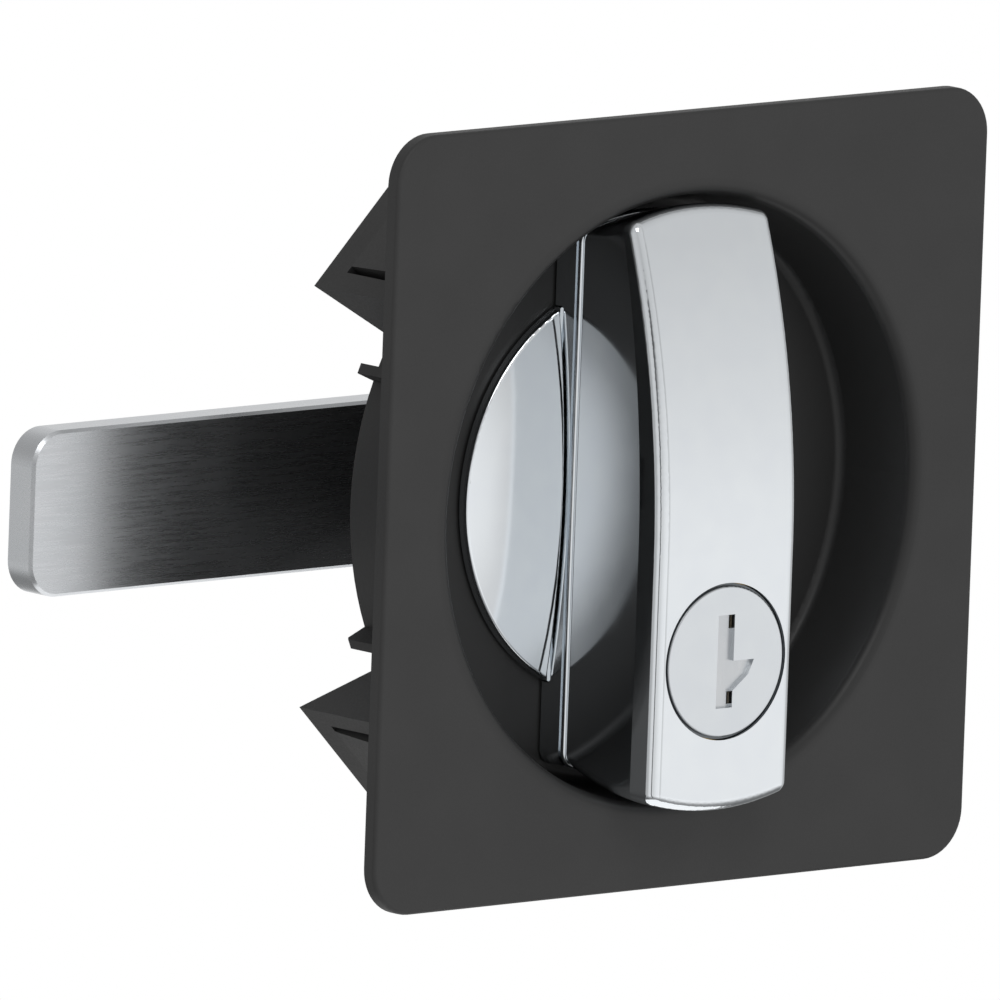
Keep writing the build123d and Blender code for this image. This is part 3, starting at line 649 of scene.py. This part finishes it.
white = add_node(tree, "ShaderNodeBackground", inputs={"Color": linear("#ffffff"), "Strength": 1.0})
backdrop = add_node(
    tree,
    "ShaderNodeMixShader",
    inputs={0: light_path.outputs["Is Camera Ray"], 1: studio.outputs[0], 2: white.outputs[0]},
)
tree.links.new(backdrop.outputs[0], output.inputs["Surface"])
print("studio sides", len(studio_sides))

# %% [markdown]
# ## Lamp
#
# One small softbox above the camera, a little to its right, adds direct light from above.

# %% Softbox
def add_softbox(name, place, aim, size, power):
    """Square area lamp at a place, aimed at a point."""
    lamp = bpy.data.lights.new(name, "AREA")
    lamp.shape = "SQUARE"
    lamp.size = size
    lamp.energy = power
    box = bpy.data.objects.new(name, lamp)
    bpy.context.scene.collection.objects.link(box)
    box.location = place
    box.rotation_euler = (Vector(aim) - Vector(place)).to_track_quat("-Z", "Y").to_euler()
    return box


key_place = (-0.5, -0.9, 0.9)
add_softbox("key_softbox", key_place, aim=(0, 0, 0), size=0.6, power=3.0)
print("softbox at", key_place)

# %% [markdown]
# ## Camera
#
# The photograph shows almost no perspective: opposite edges of the plate stay parallel. A very long lens far
# away gives that. Its three axes were measured from the edges of the square plate: it stands 41 degrees to
# the left of the front and 9 degrees above, and is rolled by 2 degrees.

# %% Camera
image_right = Vector((592.0, -516.2, 28.0)).normalized()
image_up = Vector((59.0, 109.7, 776.0)).normalized()
towards_camera = image_right.cross(image_up).normalized()
image_up = towards_camera.cross(image_right)
picture_px = 1000.0
plate_side = 0.075
plate_side_px = 785.9
plate_centre = Vector((0, -0.0015, 0))
plate_centre_px = 683.1
pixels_per_metre = plate_side_px / plate_side
aim = plate_centre - image_right * ((plate_centre_px - picture_px / 2) / pixels_per_metre)

lens = bpy.data.cameras.new("camera")
lens.sensor_width = 36.0
lens.lens = 1500.0
lens.clip_start = 0.1
lens.clip_end = 30.0
camera = bpy.data.objects.new("camera", lens)
bpy.context.scene.collection.objects.link(camera)
distance = picture_px / pixels_per_metre * lens.lens / lens.sensor_width
turn = Matrix((image_right, image_up, towards_camera)).transposed().to_4x4()
camera.matrix_world = Matrix.Translation(aim + towards_camera * distance) @ turn
bpy.context.scene.camera = camera
bpy.context.scene.view_settings.view_transform = "Standard"
print("camera distance", round(distance, 3))
